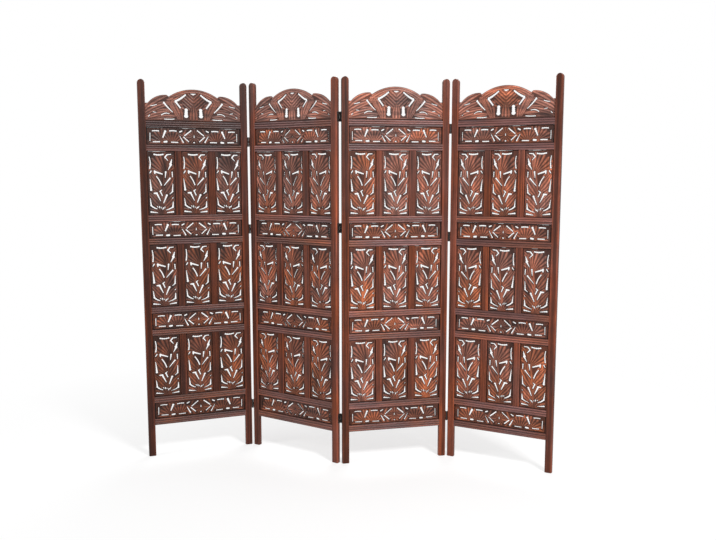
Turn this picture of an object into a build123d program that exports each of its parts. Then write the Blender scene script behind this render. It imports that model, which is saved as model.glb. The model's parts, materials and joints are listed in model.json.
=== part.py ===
from build123d import *

import math
import os

# A folding room screen of pierced and carved hardwood: four framed panels joined edge to edge
# by butt hinges. Each panel is a pair of stiles with eight reeded rails between them. Low frieze
# boards alternate with tiers of tall carved boards, and a pediment closes the top.
#
# Millimetres. X runs along the screen, Y through it and Z up; the front faces -Y. The screen
# stands on Z = 0 in a zigzag, and the origin is under the middle of its bounding box. A panel is
# drawn in its own frame first: X across it from its middle, Y through it, Z up from the floor.

# ---- frame of one panel ----
stile_width = 34.0
stile_depth = 24.0
stile_rise = 192.0           # top rail to the tip of the stile's rounded end
foot_height = 155.0          # floor to the underside of the bottom rail
opening_width = 452.0        # clear width between the stiles
rail_height = 31.0
rail_depth = 20.0
frieze_height = 80.0
tall_board_height = 305.0
tier_count = 3
bay_count = 3
muntin_width = 30.0
muntin_depth = 18.0
board_thickness = 10.0
seat_depth = 6.0             # how far rails and boards enter the groove of a stile

# ---- reeding worked along both faces of a rail ----
reed_count = 3
reed_groove_width = 4.0
reed_groove_depth = 2.2

# ---- pediment, measured up from the top rail and out from the middle of the panel ----
arch_rise = 152.0
arch_foot_rise = 115.0       # the arch springs from the nick behind each wing
arch_foot_offset = 116.0
wing_tip_rise = 123.0
wing_tip_offset = 124.0
wing_bulge = 12.0            # crown of the wing's curve over its chord
shoulder_rise = 84.0
shoulder_run = 12.0          # level run of the shoulder beside each stile

# ---- margin left whole round the pierced field of a board ----
tall_board_margin = 9.0
frieze_margin = 11.0

# ---- hinges ----
hinge_height = 46.0
hinge_plate_width = 19.0
hinge_plate_thickness = 1.5
knuckle_radius = 2.8
knuckle_gap = 0.4            # along the pin, and from a knuckle to the opposite plate
pin_radius = 1.5
running_clearance = 0.08     # radial, between the pin and the knuckle that turns on it
barrel_sides = 8             # flats that stand for the round of a knuckle, a bore or a pin
axis_stand_off = 2.2         # hinge axis outside the faces that fold together
hinge_heights = (            # floor to the middle of each hinge, joint by joint
    (216.0, 1115.0, 1545.0),
    (220.0, 1137.0, 1650.0),
    (204.0, 1090.0, 1600.0),
)

# ---- how the screen stands at rest ----
first_heading = 27.0                 # degrees from X to the run of the first panel
fold_turns = (-53.0, 45.0, -40.0)    # each panel from the one before; negative brings the fronts together

# Cuts through the carved boards. Each is a shard whose two ends are given as shares of the
# pierced field, across from its left and down from its top. Then come its breadth, as a share
# of the field's width, and how far along it is broadest: at the far end it is a wedge.
tall_board_cuts = (
    ((0.67, 0.02), (0.19, 0.02), 0.12, 1.0),     # over the bud
    ((0.03, 0.04), (0.05, 0.27), 0.10, 1.0),     # left of the bud
    ((0.78, 0.29), (0.97, 0.09), 0.16, 0.55),    # right of the bud
    ((0.57, 0.35), (0.20, 0.30), 0.13, 1.0),     # under the bud
    ((0.56, 0.55), (0.89, 0.41), 0.12, 1.0),     # right of the stem
    ((0.01, 0.40), (0.06, 0.63), 0.12, 1.0),     # outside the left leaf
    ((0.46, 0.81), (0.24, 0.65), 0.17, 1.0),     # over the lower left leaf
    ((0.55, 0.84), (0.73, 0.68), 0.14, 1.0),     # over the lower right leaf
    ((0.62, 0.96), (0.96, 0.88), 0.14, 1.0),     # under the lower right leaf
)
# The cuts of a frieze's left half; the right half mirrors them.
frieze_cuts = (
    ((0.15, 0.80), (0.19, 0.05), 0.054, 1.0),    # between the end leaf and the inner leaf
    ((0.33, 0.25), (0.38, 0.97), 0.036, 1.0),    # outer side of the middle diamond
    ((0.38, 0.46), (0.475, 0.02), 0.034, 1.0),   # upper side of the middle diamond
)
# Outlines cut through the left half of the pediment, in millimetres, across and up.
crest_cuts = (
    ((-23, 18), (-46, 18), (-43, 62), (-27, 62)),                              # beside the stem
    ((-40, 130), (-91, 95), (-66, 61), (-59, 67), (-77, 92), (-34, 123)),      # round the palmette
    ((-144, 87), (-91, 35), (-93, 42), (-136, 89)),                            # behind the palmette
)
crest_crown_cut = ((-19, 140), (0, 127), (19, 140))

# ---- worked out from the sizes above ----
panel_width = opening_width + 2 * stile_width
unit_height = frieze_height + 2 * rail_height          # a frieze between its two rails
tier_pitch = unit_height + tall_board_height
top_rail_top = foot_height + tier_count * tier_pitch + unit_height
stile_height = top_rail_top + stile_rise
bay_width = (opening_width - (bay_count - 1) * muntin_width) / bay_count
bay_pitch = bay_width + muntin_width
hinge_gap = 2 * knuckle_radius                         # between neighbouring stiles in line
axis_offset = (panel_width + hinge_gap) / 2            # hinge axis from the middle of a panel
axis_depth = stile_depth / 2 + axis_stand_off
knuckle_length = (hinge_height - 2 * knuckle_gap) / 3    # two end knuckles and one between them
knuckle_pitch = knuckle_length + knuckle_gap
plate_start = knuckle_radius + knuckle_gap             # hinge axis to the near edge of a plate


def polygon(points):
    """A flat face through the points, on XY."""
    return make_face(Polyline(*points, close=True))


def upright(outline, thickness):
    """Stand a face drawn across and up on XZ, and thicken it to both sides of the middle plane."""
    return extrude(Plane.XZ * outline, thickness / 2, both=True)


def shard(cut, width, height):
    """A kite or wedge inside a field of this size centred on the origin."""
    (start_across, start_down), (end_across, end_down), breadth, broadest = cut
    start = Vector((start_across - 0.5) * width, (0.5 - start_down) * height)
    end = Vector((end_across - 0.5) * width, (0.5 - end_down) * height)
    run = end - start
    belly = start + run * broadest
    half_breadth = run.normalized().rotate(Axis.Z, 90) * (breadth * width / 2)
    tip = [end] if broadest < 1 else []
    return polygon([start, belly - half_breadth, *tip, belly + half_breadth])


def stile(side):
    """An upright with a half-round top and a groove down its inner edge; side is -1 left, 1 right."""
    straight = stile_height - stile_width / 2
    outline = Pos(0, straight / 2) * Rectangle(stile_width, straight)
    outline += Pos(0, straight) * Circle(stile_width / 2)
    groove_length = top_rail_top + shoulder_rise - foot_height
    groove = Box(seat_depth, board_thickness, groove_length)
    groove = Pos(-side * (stile_width - seat_depth) / 2, 0, foot_height + groove_length / 2) * groove
    return Pos(side * (panel_width - stile_width) / 2, 0, 0) * (upright(outline, stile_depth) - groove)


def rail_section():
    """A bar with V grooves along both faces, drawn across Y and up Z from its middle."""
    front = [(-rail_depth / 2, -rail_height / 2)]
    for reed in range(1, reed_count):
        level = rail_height * (reed / reed_count - 0.5)
        front.append((-rail_depth / 2, level - reed_groove_width / 2))
        front.append((-rail_depth / 2 + reed_groove_depth, level))
        front.append((-rail_depth / 2, level + reed_groove_width / 2))
    front.append((-rail_depth / 2, rail_height / 2))
    back = [(-depth, level) for depth, level in reversed(front)]
    return polygon(front + back)


def rail(underside):
    """A reeded rail with a stub tenon at each end that fills the groove of the stile."""
    body = extrude(Plane.YZ * rail_section(), opening_width / 2, both=True)
    tenons = Box(opening_width + 2 * seat_depth, board_thickness, rail_height)
    return Pos(0, 0, underside + rail_height / 2) * (body + tenons)


def frieze(underside):
    """A low board between two rails, seated in both stiles, pierced alike on both halves."""
    width = opening_width - 2 * frieze_margin
    height = frieze_height - 2 * frieze_margin
    left = [shard(cut, width, height) for cut in frieze_cuts]
    right = [mirror(cut, Plane.YZ) for cut in left]
    outline = Rectangle(opening_width + 2 * seat_depth, frieze_height) - left - right
    return Pos(0, 0, underside + frieze_height / 2) * upright(outline, board_thickness)


def tall_board(bay, underside, turned):
    """A tall board of one bay. The outer two enter the stiles; a turned panel shows the cuts mirrored."""
    seat = seat_depth if abs(bay) * 2 == bay_count - 1 else 0
    outline = Pos(math.copysign(seat, bay) / 2, 0) * Rectangle(bay_width + seat, tall_board_height)
    width = bay_width - 2 * tall_board_margin
    height = tall_board_height - 2 * tall_board_margin
    for cut in tall_board_cuts:
        hole = shard(cut, width, height)
        outline -= mirror(hole, Plane.YZ) if turned else hole
    board = upright(outline, board_thickness)
    return Pos(bay * bay_pitch, 0, underside + tall_board_height / 2) * board


def muntin(gap, underside):
    """A plain bar between two tall boards."""
    bar = Box(muntin_width, muntin_depth, tall_board_height)
    return Pos(gap * bay_pitch, 0, underside + tall_board_height / 2) * bar


def crest():
    """The pediment: square shoulders in the stiles, a rising wing each side and an arch between."""
    end = opening_width / 2 + seat_depth
    wing_foot = Vector(shoulder_run - opening_width / 2, shoulder_rise)
    wing_tip = Vector(-wing_tip_offset, wing_tip_rise)
    chord = wing_tip - wing_foot
    wing_crown = (wing_foot + wing_tip) / 2 + chord.normalized().rotate(Axis.Z, 90) * wing_bulge
    arch_foot = Vector(-arch_foot_offset, arch_foot_rise)
    half = [
        Polyline((0, 0), (-end, 0), (-end, shoulder_rise), wing_foot),
        ThreePointArc(wing_foot, wing_crown, wing_tip),
        Line(wing_tip, arch_foot),
    ]
    arch = ThreePointArc(arch_foot, (0, arch_rise), (arch_foot_offset, arch_foot_rise))
    outline = make_face(half + [mirror(edge, Plane.YZ) for edge in half] + [arch])
    left = [polygon(cut) for cut in crest_cuts]
    right = [mirror(cut, Plane.YZ) for cut in left]
    outline = outline - left - right - polygon(crest_crown_cut)
    return Pos(0, 0, top_rail_top) * upright(outline, board_thickness)


def barrel(radius, length):
    """A round bar along Z, centred on the origin, drawn with flats and a corner on X."""
    return extrude(RegularPolygon(radius, barrel_sides), length / 2, both=True)


def hinge_leaf(side):
    """One leaf about its pin, for fronts that fold together; side is -1 on the left stile, 1 on the right.

    The left leaf has the two end knuckles, closed where the pin is riveted in them. The right
    leaf has the knuckle between, which turns on the pin.
    """
    plate_middle = side * (hinge_gap - hinge_plate_thickness) / 2
    tab = Pos(plate_middle, plate_start / 2, 0) * Box(hinge_plate_thickness, plate_start, knuckle_length)
    knuckle = barrel(knuckle_radius, knuckle_length) + tab
    if side > 0:
        bore_radius = (pin_radius + running_clearance) / math.cos(math.pi / barrel_sides)
        knuckle -= barrel(bore_radius, knuckle_length)
    plate_width = axis_stand_off + hinge_plate_width - plate_start
    plate = Box(hinge_plate_thickness, plate_width, hinge_height)
    leaf = Pos(plate_middle, plate_start + plate_width / 2, 0) * plate
    for level in (-knuckle_pitch, knuckle_pitch) if side < 0 else (0,):
        leaf += Pos(0, 0, level) * knuckle
    return leaf


def hinge_pin():
    """The pin between the two end knuckles that hold it."""
    return barrel(pin_radius, knuckle_length + 2 * knuckle_gap)


def hinge_side(turn):
    """The face that carries the knuckles between two panels: -1 the front, 1 the back."""
    return -1 if turn < 0 else 1


def panel_places():
    """The place of each panel: it is turned from the one before about the hinge axis they share."""
    places = [Rot(0, 0, first_heading)]
    for turn in fold_turns:
        depth = hinge_side(turn) * axis_depth
        hinge_line = places[-1] * Pos(axis_offset, depth, 0)
        places.append(hinge_line * Rot(0, 0, turn) * Pos(axis_offset, -depth, 0))
    return places


def panel_pieces(turned):
    """The pieces of one panel in its own frame, by name."""
    frieze_levels = [foot_height + rail_height + tier * tier_pitch for tier in range(tier_count + 1)]
    board_levels = [foot_height + unit_height + tier * tier_pitch for tier in range(tier_count)]
    rail_levels = sorted([level - rail_height for level in frieze_levels]
                         + [level + frieze_height for level in frieze_levels])
    bays = [bay - (bay_count - 1) / 2 for bay in range(bay_count)]
    gaps = [bay + 0.5 for bay in bays[:-1]]
    pieces = {
        "left_stile": [stile(-1)],
        "right_stile": [stile(1)],
        "bottom_rail": [rail(rail_levels[0])],
        "tier_rails": [rail(level) for level in rail_levels[1:-1]],
        "top_rail": [rail(rail_levels[-1])],
        "crest": [crest()],
        "friezes": [frieze(level) for level in frieze_levels],
        "muntins": [muntin(gap, level) for level in board_levels for gap in gaps],
    }
    for tier, level in enumerate(board_levels):
        pieces[f"tier_{tier + 1}_boards"] = [tall_board(bay, level, turned) for bay in bays]
    return pieces


def hinge_pieces(turn, heights):
    """The hinges of one joint by name, each with the index of the panel that carries it."""
    depth = hinge_side(turn) * axis_depth
    left, right, pin = hinge_leaf(-1), hinge_leaf(1), hinge_pin()
    if hinge_side(turn) > 0:
        left, right = mirror(left, Plane.XZ), mirror(right, Plane.XZ)
    return {
        "left_leaves": (0, [Pos(axis_offset, depth, level) * left for level in heights]),
        "right_leaves": (1, [Pos(-axis_offset, depth, level) * right for level in heights]),
        "pins": (0, [Pos(axis_offset, depth, level) * pin for level in heights]),
    }


def assembly():
    """Every node's solids in place, standing in the zigzag round the first panel's middle."""
    places = panel_places()
    nodes = {}
    for index, place in enumerate(places):
        for name, solids in panel_pieces(turned=index % 2 == 1).items():
            nodes[f"panel_{index + 1}_{name}"] = [place * solid for solid in solids]
    for index, (turn, heights) in enumerate(zip(fold_turns, hinge_heights)):
        for name, (carrier, solids) in hinge_pieces(turn, heights).items():
            place = places[index + carrier]
            nodes[f"hinge_{index + 1}_{index + 2}_{name}"] = [place * solid for solid in solids]
    return nodes


nodes = assembly()
middle = Compound([solid for solids in nodes.values() for solid in solids]).bounding_box().center()
to_origin = Pos(-middle.X, -middle.Y, 0)

os.makedirs("parts", exist_ok=True)
for name, solids in nodes.items():
    export_step(Compound(children=[to_origin * solid for solid in solids]), f"parts/{name}.step")
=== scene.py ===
import json
import math
from types import SimpleNamespace

import bpy
import numpy as np
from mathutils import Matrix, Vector

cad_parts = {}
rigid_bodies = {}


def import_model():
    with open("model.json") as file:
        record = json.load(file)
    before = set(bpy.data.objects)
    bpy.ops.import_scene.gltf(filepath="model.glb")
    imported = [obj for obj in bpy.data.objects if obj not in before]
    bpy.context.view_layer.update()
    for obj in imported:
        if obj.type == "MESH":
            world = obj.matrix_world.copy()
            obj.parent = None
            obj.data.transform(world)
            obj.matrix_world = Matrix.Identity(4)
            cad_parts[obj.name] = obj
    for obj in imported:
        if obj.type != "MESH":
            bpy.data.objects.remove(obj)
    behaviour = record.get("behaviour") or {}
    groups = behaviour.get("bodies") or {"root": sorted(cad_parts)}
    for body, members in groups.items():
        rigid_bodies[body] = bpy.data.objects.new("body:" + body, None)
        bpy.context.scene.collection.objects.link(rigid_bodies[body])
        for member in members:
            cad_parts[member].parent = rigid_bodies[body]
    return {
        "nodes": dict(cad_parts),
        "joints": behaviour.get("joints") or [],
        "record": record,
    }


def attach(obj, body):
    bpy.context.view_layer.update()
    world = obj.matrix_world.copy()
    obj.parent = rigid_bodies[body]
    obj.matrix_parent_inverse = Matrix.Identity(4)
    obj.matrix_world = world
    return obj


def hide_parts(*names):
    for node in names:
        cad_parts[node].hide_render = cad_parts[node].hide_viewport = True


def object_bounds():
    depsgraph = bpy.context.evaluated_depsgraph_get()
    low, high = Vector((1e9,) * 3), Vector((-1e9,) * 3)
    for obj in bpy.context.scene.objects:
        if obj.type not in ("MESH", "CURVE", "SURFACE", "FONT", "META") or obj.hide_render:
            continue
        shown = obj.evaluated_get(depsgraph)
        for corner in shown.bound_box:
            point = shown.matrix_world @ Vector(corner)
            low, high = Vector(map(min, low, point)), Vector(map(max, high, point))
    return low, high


bl_info = {
    "name": "Carved jali folding screen",
    "version": (1, 0, 0),
    "blender": (4, 5, 0),
    "location": "View3D > Sidebar > Screen",
    "description": "Carves, frames and finishes a folding hardwood screen around its packed solids",
    "category": "Object",
}

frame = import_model()
cad_box = [list(corner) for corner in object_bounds()]

MM = 0.001
PANELS = (1, 2, 3, 4)
TURNED_PANELS = (2, 4)       # these show the boards' motif mirrored
TIERS = (1, 2, 3)
CREASE = math.radians(40)    # faces that meet at more than this show an edge

# ---- tones of the timber ----
PANEL_TONES = {1: -1.1, 2: -0.1, 3: 0.2, 4: 0.05}    # the first panel is darker
PIECE_TONES = {                                      # pieces that stand out from their panel
    "panel_1_left_stile": -1.8, "panel_1_right_stile": -1.45, "panel_1_top_rail": -2.0,
    "panel_2_left_stile": -0.3, "panel_2_right_stile": 1.1,
    "panel_3_left_stile": -0.5, "panel_3_right_stile": 0.5, "panel_3_top_rail": -0.3,
    "panel_4_left_stile": 0.5, "panel_4_right_stile": -0.1, "panel_4_top_rail": -0.3,
    "panel_1_crest": 0.1, "panel_2_crest": 1.2, "panel_3_crest": 1.0, "panel_4_crest": 0.8,
    "panel_4_muntins": 0.5,
}
PIECE_TONE = 0.45            # how far one piece strays from these
TONE_REACH = 2.0             # tone of the palest timber, and less it of the darkest
WOOD_GLOSS = {"stile_wood": 0.18, "rail_wood": 0.38, "muntin_wood": 0.18, "carved_wood": 0.26}

# ---- plain timber; relief is a share, 0 in the deepest cut and 1 on the highest carving ----
# On plain timber relief sets only the colour and the roughness: the finish paints shade where it is low, as
# in a reed's groove, and a highlight where it is high, on a reed's top and on the long edges, where it also
# stands for wear.
FACE_RELIEF = 0.6            # the faces of a plain bar, whose long edges have 1
END_RELIEF = 0.5             # the middle of a sawn end
REED_GROOVE, REED_TOP = 0.25, 0.85    # relief in a groove and on a reed
STILE_POWER = 6              # power of a stile's section
TIP_TURN = math.pi / 2 * 0.985     # how far round the half circle of a stile's tip goes
TIP_THINNING = 1.6           # how much thinner the tip ends, in bevels
RAIL_STATIONS = 14           # sections along a rail, and along a muntin
MUNTIN_STATIONS = 8

# ---- hinges ----
HINGE_SPACING = 0.1          # solids of a hinge node further apart than this are different hinges
HINGE_AXIS_OUT = 0.0022      # hinge axis outside the faces that fold together
HINGE_CHAMFER = 0.0003       # at the ends of a knuckle
HINGE_CORNER = 0.0012        # radius of a plate's corners
PIN_CHAMFER = 0.2            # a share of the pin's radius
BARREL_RELIEF = 0.8
SCREW_PROUD = 0.0002         # height of a screw's head over the plate
SCREW_SHARES = (-0.32, 0, 0.32)    # places along a leaf, as shares of its height
SCREW_ASIDE = 0.001          # screws from the middle of the plate, away from the pin

# ---- stage ----
FLOOR_REACH = 30.0           # half the width of the floor
FLOOR_FADE = (0.4, 2.4, 0.55, 1)   # metres from the middle, near and far, and the share of white
LAMPS = (                    # name, place, target, width and height, and power as a share of the key
    ("key lamp", (2.6, -3.2, 4.2), (0.3, 0, 0.9), (1.0, 1.0), 1.0),
    ("side lamp", (-3.6, -1.8, 2.6), (-0.2, 0, 1.0), (1.2, 1.6), 0.2),
    ("back lamp", (0.4, 3.6, 2.6), (0, 0, 0.9), (3.0, 1.5), 0.4),
)
CAMERA_PLACE = (0.4606, -3.7265, 1.3876)
CAMERA_TURN = (math.radians(83.023), 0.0, math.radians(6.256))


# ---------------------------------------------------------------------------------------------
# Where things are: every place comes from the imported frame
# ---------------------------------------------------------------------------------------------

def node_points(node):
    """All the vertices of a CAD node, in the row frame."""
    vertices = frame["nodes"][node].data.vertices
    points = np.empty(len(vertices) * 3)
    vertices.foreach_get("co", points)
    return points.reshape(-1, 3)


def foot(number, side):
    """The middle of the underside of one foot."""
    name = f"panel_{number}_{side}_foot"
    return np.array(next(m["pos_m"] for m in frame["record"]["mounts"] if m["name"] == name))


def panel_place(number):
    """The point midway between a panel's feet, and the rows across, through and up of its own frame."""
    left, right = foot(number, "left"), foot(number, "right")
    across = (right - left) / np.linalg.norm(right - left)
    through = np.array([-across[1], across[0], 0.0])
    return (left + right) / 2, np.array([across, through, [0.0, 0.0, 1.0]])


def in_panel(number, points):
    """Points of the row frame as across, through and up in a panel's own frame."""
    middle, axes = panel_place(number)
    return (points - middle) @ axes.T


def from_panel(number, points):
    """Points of a panel's own frame back in the row frame."""
    middle, axes = panel_place(number)
    return points @ axes + middle


def extent(number, part):
    """Lowest and highest corner of a node in its panel's own frame."""
    points = in_panel(number, node_points(f"panel_{number}_{part}"))
    return points.min(0), points.max(0)


def board_levels(number):
    """Underside and top of each tier of tall boards, lowest first."""
    return [(low[2], high[2]) for low, high in (extent(number, f"tier_{tier}_boards") for tier in TIERS)]


def rail_levels(number):
    """Underside and top of each rail, lowest first: one lies under and one over every tier."""
    low, high = extent(number, "bottom_rail")
    height = high[2] - low[2]
    undersides = [low[2]]
    for board_underside, board_top in board_levels(number):
        undersides += [board_underside - height, board_top]
    undersides.append(extent(number, "top_rail")[0][2])
    return [(underside, underside + height) for underside in undersides]


def frieze_levels(number):
    """Underside and top of each frieze, lowest first: it fills the space between two rails."""
    rails = rail_levels(number)
    return [(lower[1], upper[0]) for lower, upper in zip(rails[::2], rails[1::2])]


def opening_half_width(number):
    """From the middle of a panel to the inner edge of its right stile."""
    return extent(number, "right_stile")[0][0]


def crest_sizes(number, outline):
    """Sizes of a pediment in millimetres, its height and its shoulders taken from the frame."""
    low, high = extent(number, "crest")
    sizes = {name: getattr(outline, name) / MM for name in outline.__annotations__}
    sizes["arch_rise"] = (high[2] - low[2]) / MM
    sizes["shoulder_offset"] = opening_half_width(number) / MM - sizes["shoulder_run"]
    return SimpleNamespace(**sizes)


def muntin_edges(number):
    """Inner and outer edge of a muntin, measured from the middle of the panel."""
    across = in_panel(number, node_points(f"panel_{number}_muntins"))[:, 0]
    right = across[across > 0]
    return right.min(), right.max()


# ---------------------------------------------------------------------------------------------
# Shapes: points, faces and what the finishes read at each point
# ---------------------------------------------------------------------------------------------

def grid_quads(rows, columns, around=False):
    """Quads of a grid numbered row by row, joined round its columns if asked."""
    row = np.arange(rows - 1)[:, None] * columns
    column = np.arange(columns if around else columns - 1)[None, :]
    following = (column + 1) % columns
    return np.stack([row + column, row + following, row + columns + following, row + columns + column],
                    -1).reshape(-1, 4)


def shape(points, quads, triangles=None, **values):
    """A shape is a dict of points, quads, triangles and one array for each named value."""
    if triangles is None:
        triangles = np.empty((0, 3), int)
    return {"points": points, "quads": quads, "triangles": triangles, "values": values}


def joined(shapes):
    """Several shapes as one, in order, with their face numbers moved up to match."""
    starts = np.cumsum([0] + [len(s["points"]) for s in shapes[:-1]])
    names = shapes[0]["values"]
    return {
        "points": np.concatenate([s["points"] for s in shapes]),
        "quads": np.concatenate([s["quads"] + start for s, start in zip(shapes, starts)]),
        "triangles": np.concatenate([s["triangles"] + start for s, start in zip(shapes, starts)]),
        "values": {name: np.concatenate([s["values"][name] for s in shapes]) for name in names},
    }


def alike(scales):
    """The same factor for both axes of a section at each station."""
    return np.repeat(np.array(scales)[:, None], 2, axis=1)


def swept(section, stations, scales, relief):
    """A closed bar: a section, points around X and Y, carried up Z through the stations.

    At each station the section is scaled by that station's two factors. Both ends are closed by
    a fan from the middle of the end. Relief is one value for each point of the section.
    """
    count, rows = len(section), len(stations)
    points = np.empty((rows, count, 3))
    points[..., :2] = section[None] * scales[:, None]
    points[..., 2] = stations[:, None]
    ends = np.array([[0, 0, stations[0]], [0, 0, stations[-1]]])
    start = np.arange(count)
    after = (start + 1) % count
    first_middle = rows * count
    top = (rows - 1) * count
    fans = np.concatenate([
        np.stack([np.full(count, first_middle), after, start], -1),
        np.stack([np.full(count, first_middle + 1), top + start, top + after], -1),
    ])
    values = np.concatenate([np.tile(relief, rows), [END_RELIEF, END_RELIEF]])
    return shape(np.concatenate([points.reshape(-1, 3), ends]), grid_quads(rows, count, True), fans,
                 relief=values)


def straight_bar(section, low, high, steps, relief):
    """A closed bar: a section carried unchanged up Z from low to high."""
    return swept(section, np.linspace(low, high, steps), np.ones((steps, 2)), relief)


def rounded_rectangle(width, depth, radius, corner_points=5):
    """Points round a rectangle with quarter circles for corners, and how near each is to a corner."""
    quarter = np.linspace(0, math.pi / 2, corner_points)
    points, near = [], []
    for turn, (x, y) in enumerate(((1, 1), (-1, 1), (-1, -1), (1, -1))):
        angle = quarter + turn * math.pi / 2
        centre = np.array([x * (width / 2 - radius), y * (depth / 2 - radius)])
        points.append(centre + radius * np.stack([np.cos(angle), np.sin(angle)], -1))
        near.append(np.sin(2 * quarter))
    return np.concatenate(points), np.concatenate(near)


def superellipse(width, depth, power, count=40):
    """Points round |2x/width|^power + |2y/depth|^power = 1, and how near each is to a corner.

    With a the angle about the middle, the nearness is |sin 2a|^3.
    """
    angle = 2 * math.pi * (np.arange(count) + 0.5) / count
    across, through = np.cos(angle), np.sin(angle)
    points = np.stack([np.sign(across) * np.abs(across) ** (2 / power) * width / 2,
                       np.sign(through) * np.abs(through) ** (2 / power) * depth / 2], -1)
    return points, np.abs(np.sin(2 * angle)) ** 3


def built(name, parts, body, slot, replaced):
    """Make one piece of its shapes, finish it, hang it on the body that carries it and hide the node that
    it replaces.
    """
    whole = joined(parts)
    mesh = bpy.data.meshes.new(name)
    quads, triangles = whole["quads"], whole["triangles"]
    corners = np.concatenate([quads.ravel(), triangles.ravel()]).astype(np.int32)
    totals = np.concatenate([np.full(len(quads), 4), np.full(len(triangles), 3)]).astype(np.int32)
    starts = np.concatenate([[0], np.cumsum(totals)[:-1]]).astype(np.int32)
    mesh.vertices.add(len(whole["points"]))
    mesh.vertices.foreach_set("co", whole["points"].astype(np.float32).ravel())
    mesh.loops.add(len(corners))
    mesh.loops.foreach_set("vertex_index", corners)
    mesh.polygons.add(len(totals))
    mesh.polygons.foreach_set("loop_start", starts)
    mesh.polygons.foreach_set("use_smooth", np.ones(len(totals), bool))
    mesh.update(calc_edges=True)
    for value, array in whole["values"].items():
        kind, field = ("FLOAT_VECTOR", "vector") if array.ndim == 2 else ("FLOAT", "value")
        attribute = mesh.attributes.new(value, kind, "POINT")
        attribute.data.foreach_set(field, array.astype(np.float32).ravel())
    mesh.validate()
    mesh.set_sharp_from_angle(angle=CREASE)
    mesh.materials.append(finish(slot))
    piece = bpy.data.objects.new(name, mesh)
    bpy.context.scene.collection.objects.link(piece)
    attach(piece, body)
    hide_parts(replaced)


def placed(number, part, grain, offset, tone):
    """A shape of the panel's frame in the row frame, with the values that its timber reads.

    Grain names the axis of the panel's frame that the fibres run along. Offset moves the figure of
    the timber, so that no two pieces are cut from the same place, and tone makes one piece lighter.
    """
    points = part["points"]
    order = {"up": (0, 1, 2), "across": (2, 1, 0)}[grain]
    values = dict(part["values"])
    values["grain"] = points[:, order] + offset
    values["tone"] = np.full(len(points), tone)
    return {**part, "points": from_panel(number, points), "values": values}


# ---------------------------------------------------------------------------------------------
# Carving: openings cut through a board, and leaves, petals and stems raised on what is left.
# In millimetres, across and up. Relief is a share, 0 in the deepest cut and 1 on the highest carving.
# ---------------------------------------------------------------------------------------------

GROUND = 0.34                # relief of the ground between the raised shapes
SHAPE_ROUND = 1.8            # how far in a raised shape's edge is rounded
LEAST_WIDTH = 0.1            # keeps the width of a leaf's two tips over nought
LEAF_FULLNESS, PETAL_FULLNESS = 0.6, 0.5    # a lower power makes it blunter at its ends
LEAF_EDGE, PETAL_EDGE = 0.62, 0.64     # relief at the edge; the crown has 1
MIDRIB_WIDTH, MIDRIB_CUT = 1.8, 0.3
VEIN_START, VEIN_CUT, VEIN_SLANT = 2.0, 0.6, 0.9    # full cut at this distance from the midrib
PETAL_CUT = 0.55             # depth of the grooves of a petal
FAN_FOOT, FAN_SWELL, FAN_CUT = 0.62, 0.3, 0.62      # relief at the foot, its rise, and the grooves
FAN_SWELL_END = 0.4          # the swell is full at this share of a fan's radius
FAN_SCALLOP = 0.12           # depth of the scallops of its edge, as a share of its radius
STEM_EDGE, STEM_CROWN = 0.45, 0.45     # relief at the edge, and its rise to the crown
GOUGE_BITE = 9.0             # one bite of the gouge along an opening
GOUGE_SCALLOP, GOUGE_OVERCUT = 0.36, 1.12    # shares of an opening's half width

# ---- the plain border of a board, and what edges it ----
BORDER = 0.60                # relief of the border
BORDER_INNER_ROUND, BORDER_INNER_EDGE = 2.0, 0.6    # how wide it is rounded, and what is left
BORDER_OUTER_ROUND = 3.4
# At the joint the relief falls almost to nought: a groove, and a painted shadow line that the finish draws
# near-black.
SHADOW_LINE_GAP = 2.0              # a groove between a board and what holds it, painted near-black as a shadow line
JOINT_RELIEF = 0.05          # share of the relief that is left in it

# ---- the pediment ----
CREST_REACH = 240            # half its width, with room to spare
CREST_STEEPEST = 1.5         # slope past which a band along the outline grows no thinner
CREST_STRIP = ((64, 2), (121, 98))     # the beaded strip between the dome and a wing
CREST_ROUND = 4.0            # how wide its edges are rounded
CREST_EDGE, CREST_EDGE_RISE = 0.62, 0.3     # relief along the outline, and its rise inwards
STRIP_BEAD, DOME_BEAD = 0.42, 0.46     # relief between the beads
WING_EDGE, WING_BAND = 0.4, 0.6        # the rounded edge and the whole band of a wing, in bands

# ---- how a plate meets its edges; steps and reach are shares of a cell ----
EDGE_RELIEF = 0.45           # share of the relief that is left at an edge
SLOPE_STEP, EDGE_REACH, LEAST_SLOPE = 0.05, 0.36, 0.25


def along_bow(x, y, start, end, bow):
    """Share of the way along a bowed line, and the distance across it, left positive.

    With u the share along the chord, the line stands off the chord by 4 bow u (1 - u).
    """
    run_x, run_y = end[0] - start[0], end[1] - start[1]
    length = math.hypot(run_x, run_y)
    right, up = x - start[0], y - start[1]
    forward = (right * run_x + up * run_y) / length
    share = np.clip(forward / length, 0, 1)
    across = (up * run_x - right * run_y) / length - 4 * bow * share * (1 - share)
    return share, np.where(across < 0, -1, 1) * np.hypot(across, forward - share * length)


def swelling(share, width, fullness):
    """Half width of a leaf: width * sin(pi u^0.9)^fullness, with u the share from stalk to tip."""
    return width * np.sin(math.pi * share ** 0.9) ** fullness


def domed(spread):
    """A round back: sqrt(1 - s^2), with s from -1 to 1 across it."""
    return np.sqrt(np.clip(1 - spread ** 2, 0, 1))


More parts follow.
